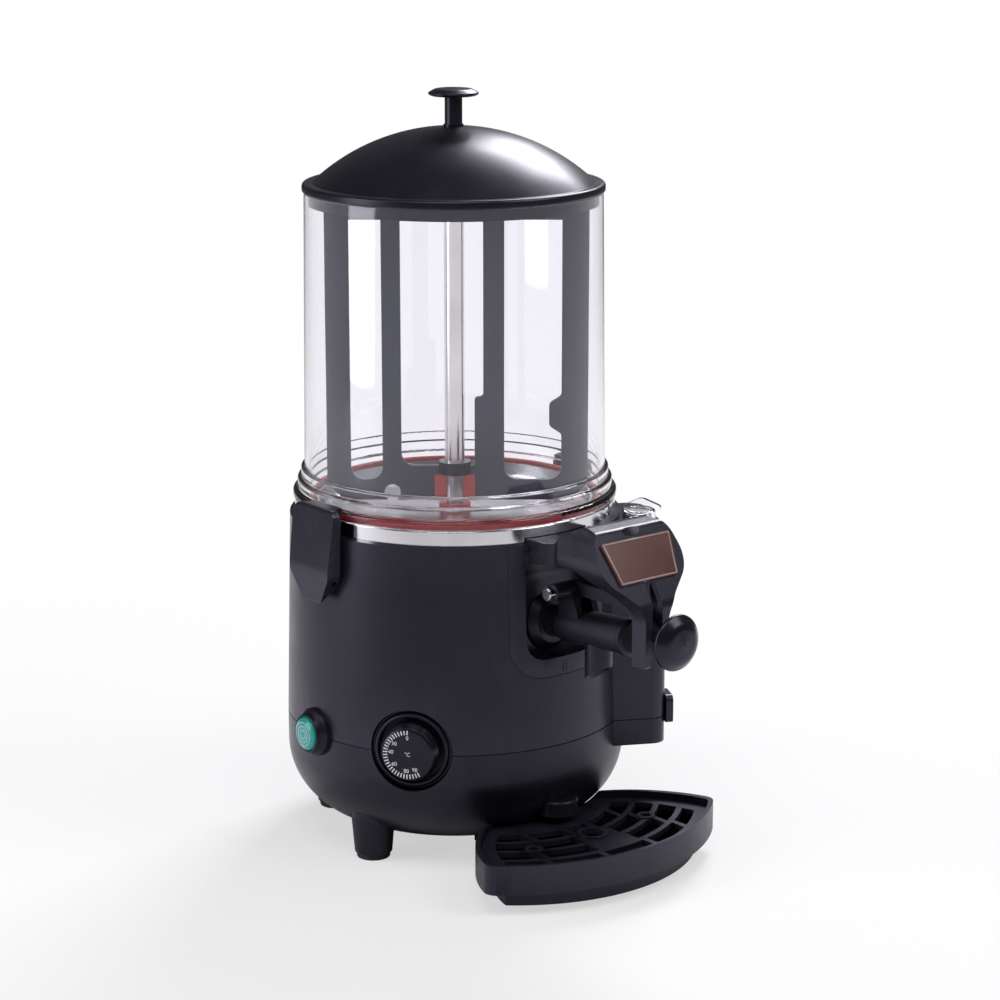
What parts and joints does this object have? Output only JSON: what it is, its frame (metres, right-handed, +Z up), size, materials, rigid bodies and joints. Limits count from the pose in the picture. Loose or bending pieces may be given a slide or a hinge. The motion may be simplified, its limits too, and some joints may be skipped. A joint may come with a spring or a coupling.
{
  "type": "hot chocolate dispenser machine",
  "caption": "Countertop hot drink dispenser with a clear jar, domed lid, rotating stirrer, lever tap, hood, dial, side water box and drip tray.",
  "frame": {"origin": "middle of the footprint, on the counter", "axes": "+Z up, front with the tap and drip tray towards -Y, +X to the right as seen from the front"},
  "size_m": [0.2844, 0.3892, 0.5774],
  "materials": {
    "black_satin": "satin black moulded plastic",
    "black_gloss": "smooth black plastic",
    "clear_plastic": "clear polycarbonate with a faint lavender tint",
    "polished_steel": "polished stainless steel",
    "plain_steel": "plain stainless steel",
    "zinc_steel": "zinc plated steel",
    "red_silicone": "red silicone",
    "stirrer_grey": "blue grey moulded plastic",
    "green_lens": "green lamp lens",
    "brown_badge": "glossy brown plate with lighter bevels",
    "black_rubber": "black rubber",
    "cream_plastic": "cream switch and thermostat housing"
  },
  "bodies": {
    "machine": {"upper_shell": "black_satin", "base_shell": "black_satin", "dial_collar": "black_satin", "switch_bezel": "black_satin", "front_panel": "black_satin", "port_ring": "black_satin", "tap_body": "black_satin", "tap_end_cap": "black_satin", "tap_hood": "black_satin", "legs": "black_satin", "tray_bracket": "black_satin", "bottom_cover": "black_satin", "power_inlet": "black_satin", "jar": "clear_plastic", "filler_neck": "clear_plastic", "tank_rim_band": "polished_steel", "lever_pivot_pin": "polished_steel", "water_tank": "plain_steel", "product_pan": "plain_steel", "outlet_elbow": "plain_steel", "column_tube": "plain_steel", "heating_element": "plain_steel", "thermostat_bulb": "plain_steel", "latch_pins": "plain_steel", "motor_plate": "zinc_steel", "motor_plate_posts": "zinc_steel", "motor_screws": "zinc_steel", "leg_screws": "zinc_steel", "gearbox": "zinc_steel", "motor_case": "zinc_steel", "latch_brackets": "zinc_steel", "overheat_cutout": "zinc_steel", "jar_gasket": "red_silicone", "column_seal": "red_silicone", "badge_plate": "brown_badge", "foot_pads": "black_rubber", "thermostat_body": "cream_plastic", "switch_body": "cream_plastic"},
    "lid": {"lid": "black_satin", "lid_knob": "black_satin", "lid_knob_screw": "plain_steel"},
    "stirrer": {"stirrer_tube": "polished_steel", "stirrer_collar": "black_gloss", "stirrer_paddles": "stirrer_grey", "stirrer_scrapers": "red_silicone", "drive_shaft": "plain_steel", "drive_cap": "black_gloss", "shaft_coupling": "zinc_steel"},
    "left_latch": {"latch_left": "black_satin"},
    "right_latch": {"latch_right": "black_satin"},
    "lever": {"tap_lever": "black_satin", "lever_knob": "black_gloss"},
    "piston": {"tap_piston": "black_gloss", "piston_seals": "red_silicone"},
    "dial": {"thermostat_dial": "black_satin"},
    "button": {"switch_button": "green_lens"},
    "cap": {"filler_cap": "clear_plastic"},
    "tray": {"drip_tray": "black_satin", "drip_grid": "black_satin"}
  },
  "joints": [
    {"name": "lid_lift", "type": "slide", "parent": "machine", "child": "lid", "axis": [0, 0, 1], "range_m": [0, 0.06]},
    {"name": "stirrer_spin", "type": "hinge", "parent": "machine", "child": "stirrer", "pos_m": [0.00141, 0.06335, 0.3], "axis": [0, 0, 1], "continuous": true},
    {"name": "left_latch_open", "type": "hinge", "parent": "machine", "child": "left_latch", "pos_m": [-0.13109, 0.06335, 0.221], "axis": [0, -1, 0], "range_deg": [0, 30]},
    {"name": "right_latch_open", "type": "hinge", "parent": "machine", "child": "right_latch", "pos_m": [0.13391, 0.06335, 0.221], "axis": [0, 1, 0], "range_deg": [0, 30]},
    {"name": "lever_lift", "type": "hinge", "parent": "machine", "child": "lever", "pos_m": [0.00141, -0.07865, 0.22], "axis": [-1, 0, 0], "range_deg": [0, 18]},
    {"name": "piston_slide", "type": "slide", "parent": "machine", "child": "piston", "axis": [0, -0.9974, 0.0715], "range_m": [0, 0.009]},
    {"name": "dial_turn", "type": "hinge", "parent": "machine", "child": "dial", "pos_m": [-0.10376, -0.01306, 0.099], "axis": [0.809, 0.5878, 0], "range_deg": [0, 210]},
    {"name": "switch_press", "type": "slide", "parent": "machine", "child": "button", "axis": [0.9986, -0.0523, 0], "range_m": [0, 0.0025], "stiffness_N_per_m": 600, "springref_m": -0.0005},
    {"name": "filler_cap_turn", "type": "hinge", "parent": "machine", "child": "cap", "pos_m": [0.09579, -0.04365, 0.255], "axis": [0, 0, 1], "range_deg": [0, 90]},
    {"name": "tray_pull", "type": "slide", "parent": "machine", "child": "tray", "axis": [0, -1, 0], "range_m": [0, 0.08]}
  ],
  "couplings": [
    {"joint": "piston_slide", "follows": "lever_lift", "m_per_rad": 0.0283}
  ]
}
